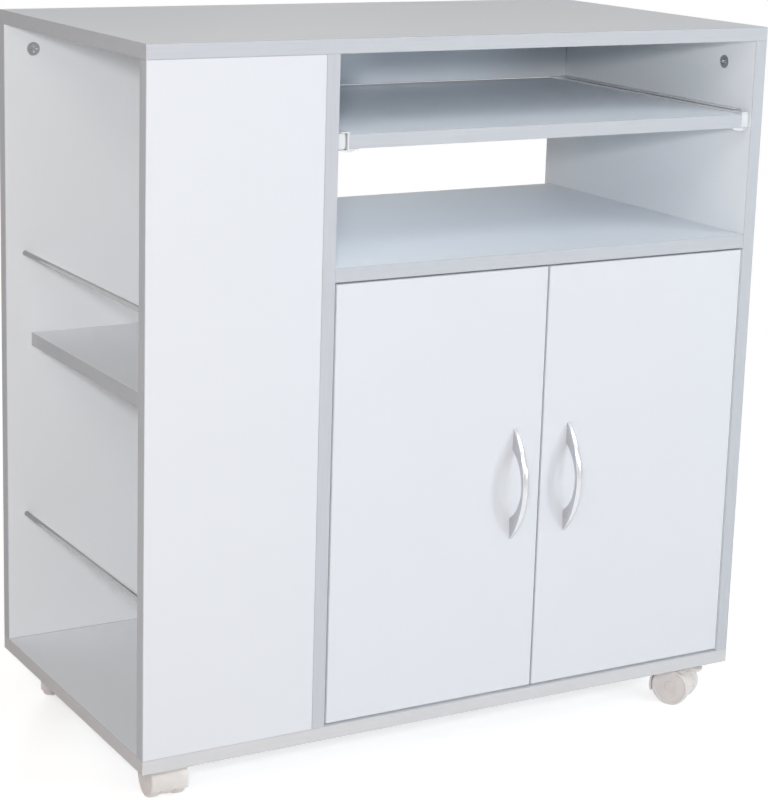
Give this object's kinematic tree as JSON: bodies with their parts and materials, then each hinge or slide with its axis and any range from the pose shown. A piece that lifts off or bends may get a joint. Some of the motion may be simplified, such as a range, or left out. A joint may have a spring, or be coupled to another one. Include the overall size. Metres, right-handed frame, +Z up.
{
  "type": "kitchen storage cabinet",
  "caption": "Low white storage cabinet on casters with an open side tower, a pull-out shelf, an open niche and a cupboard with inset doors.",
  "frame": {"origin": "on the floor under the middle of the overall box, which takes in the handles", "axes": "+X to the cabinet's right seen from the front, +Y to its rear, +Z up"},
  "size_m": [0.75, 0.426, 0.8],
  "materials": {
    "white_board": "white melamine faced particle board, satin",
    "door_board": "white melamine faced particle board, satin",
    "hardboard": "thin white faced hardboard",
    "hard_wood": "plain beech",
    "bright_rod": "bright chromed steel",
    "handle_metal": "satin chromed metal",
    "zinc": "bright zinc plated",
    "bare_steel": "plain nickel plated steel",
    "white_steel": "white epoxy coat",
    "roller_plastic": "smooth white nylon",
    "caster_plastic": "ivory grey moulded plastic",
    "wheel_plastic": "ivory grey moulded nylon"
  },
  "bodies": {
    "carcass": {"top_board": "white_board", "bottom_board": "white_board", "right_side_panel": "white_board", "divider_panel": "white_board", "left_front_panel": "white_board", "left_rear_panel": "white_board", "niche_floor": "white_board", "back_rail": "white_board", "cupboard_back_panel": "hardboard", "left_shelf": "white_board", "cupboard_shelf": "white_board", "shelf_pins": "bare_steel", "upper_guard_rod": "bright_rod", "lower_guard_rod": "bright_rod", "cam_locks": "zinc", "cam_bolts": "zinc", "dowels": "hard_wood", "assembly_screws": "zinc", "slide_cabinet_left": "white_steel", "slide_cabinet_right": "white_steel", "slide_panel_screws": "bare_steel", "hinge_plates": "bare_steel", "hinge_arms": "bare_steel", "hinge_plate_screws": "bare_steel", "caster_plates": "zinc", "caster_screws": "bare_steel"},
    "pull_out": {"pull_out_shelf": "white_board", "slide_drawer_left": "white_steel", "slide_drawer_right": "white_steel", "slide_shelf_screws": "bare_steel"},
    "front_roller_left": {"front_roller_left": "roller_plastic"},
    "front_roller_right": {"front_roller_right": "roller_plastic"},
    "rear_roller_left": {"rear_roller_left": "roller_plastic"},
    "rear_roller_right": {"rear_roller_right": "roller_plastic"},
    "left_door": {"left_door": "door_board", "left_handle": "handle_metal", "left_handle_screws": "bare_steel", "left_hinge_cups": "bare_steel", "left_hinge_pins": "bare_steel"},
    "right_door": {"right_door": "door_board", "right_handle": "handle_metal", "right_handle_screws": "bare_steel", "right_hinge_cups": "bare_steel", "right_hinge_pins": "bare_steel"},
    "front_left_caster": {"front_left_caster_hood": "caster_plastic"},
    "front_left_wheel_pair": {"front_left_axle": "bare_steel", "front_left_wheels": "wheel_plastic"},
    "front_left_brake": {"front_left_brake_lever": "caster_plastic"},
    "front_right_caster": {"front_right_caster_hood": "caster_plastic"},
    "front_right_wheel_pair": {"front_right_axle": "bare_steel", "front_right_wheels": "wheel_plastic"},
    "front_right_brake": {"front_right_brake_lever": "caster_plastic"},
    "rear_left_caster": {"rear_left_caster_hood": "caster_plastic"},
    "rear_left_wheel_pair": {"rear_left_axle": "bare_steel", "rear_left_wheels": "wheel_plastic"},
    "rear_right_caster": {"rear_right_caster_hood": "caster_plastic"},
    "rear_right_wheel_pair": {"rear_right_axle": "bare_steel", "rear_right_wheels": "wheel_plastic"}
  },
  "joints": [
    {"name": "shelf_slide", "type": "slide", "parent": "carcass", "child": "pull_out", "axis": [0, -1, 0], "range_m": [0, 0.26]},
    {"name": "front_roller_left_spin", "type": "hinge", "parent": "carcass", "child": "front_roller_left", "pos_m": [-0.1578, -0.154, 0.6953], "axis": [1, 0, 0], "range_deg": [0, 1570]},
    {"name": "front_roller_right_spin", "type": "hinge", "parent": "carcass", "child": "front_roller_right", "pos_m": [0.3538, -0.154, 0.6953], "axis": [1, 0, 0], "range_deg": [0, 1570]},
    {"name": "rear_roller_left_spin", "type": "hinge", "parent": "pull_out", "child": "rear_roller_left", "pos_m": [-0.1573, 0.151, 0.6953], "axis": [1, 0, 0], "range_deg": [0, 1570]},
    {"name": "rear_roller_right_spin", "type": "hinge", "parent": "pull_out", "child": "rear_roller_right", "pos_m": [0.3533, 0.151, 0.6953], "axis": [1, 0, 0], "range_deg": [0, 1570]},
    {"name": "left_door_hinge", "type": "hinge", "parent": "carcass", "child": "left_door", "pos_m": [-0.1478, -0.18, 0.312], "axis": [0, 0, -1], "range_deg": [0, 100]},
    {"name": "right_door_hinge", "type": "hinge", "parent": "carcass", "child": "right_door", "pos_m": [0.3438, -0.18, 0.312], "axis": [0, 0, 1], "range_deg": [0, 100]},
    {"name": "front_left_swivel", "type": "hinge", "parent": "carcass", "child": "front_left_caster", "pos_m": [-0.325, -0.137, 0.04], "axis": [0, 0, 1], "continuous": true},
    {"name": "front_left_wheel_spin", "type": "hinge", "parent": "front_left_caster", "child": "front_left_wheel_pair", "pos_m": [-0.32406, -0.12353, 0.0225], "axis": [-0.9976, 0.0698, 0], "continuous": true},
    {"name": "front_left_brake_press", "type": "hinge", "parent": "front_left_caster", "child": "front_left_brake", "pos_m": [-0.32309, -0.10968, 0.04472], "axis": [-0.9976, 0.0698, 0], "range_deg": [0, 18]},
    {"name": "front_right_swivel", "type": "hinge", "parent": "carcass", "child": "front_right_caster", "pos_m": [0.325, -0.137, 0.04], "axis": [0, 0, 1], "continuous": true},
    {"name": "front_right_wheel_spin", "type": "hinge", "parent": "front_right_caster", "child": "front_right_wheel_pair", "pos_m": [0.33235, -0.14832, 0.0225], "axis": [0.8387, 0.5446, 0], "continuous": true},
    {"name": "front_right_brake_press", "type": "hinge", "parent": "front_right_caster", "child": "front_right_brake", "pos_m": [0.33991, -0.15997, 0.04472], "axis": [0.8387, 0.5446, 0], "range_deg": [0, 18]},
    {"name": "rear_left_swivel", "type": "hinge", "parent": "carcass", "child": "rear_left_caster", "pos_m": [-0.325, 0.163, 0.04], "axis": [0, 0, 1], "continuous": true},
    {"name": "rear_left_wheel_spin", "type": "hinge", "parent": "rear_left_caster", "child": "rear_left_wheel_pair", "pos_m": [-0.3168, 0.17372, 0.0225], "axis": [-0.7944, 0.6074, 0], "continuous": true},
    {"name": "rear_right_swivel", "type": "hinge", "parent": "carcass", "child": "rear_right_caster", "pos_m": [0.325, 0.163, 0.04], "axis": [0, 0, 1], "continuous": true},
    {"name": "rear_right_wheel_spin", "type": "hinge", "parent": "rear_right_caster", "child": "rear_right_wheel_pair", "pos_m": [0.32849, 0.17604, 0.0225], "axis": [-0.9659, 0.2588, 0], "continuous": true}
  ],
  "couplings": [
    {"joint": "front_roller_left_spin", "follows": "shelf_slide", "rad_per_m": 105.26},
    {"joint": "front_roller_right_spin", "follows": "shelf_slide", "rad_per_m": 105.26},
    {"joint": "rear_roller_left_spin", "follows": "shelf_slide", "rad_per_m": 105.26},
    {"joint": "rear_roller_right_spin", "follows": "shelf_slide", "rad_per_m": 105.26}
  ]
}
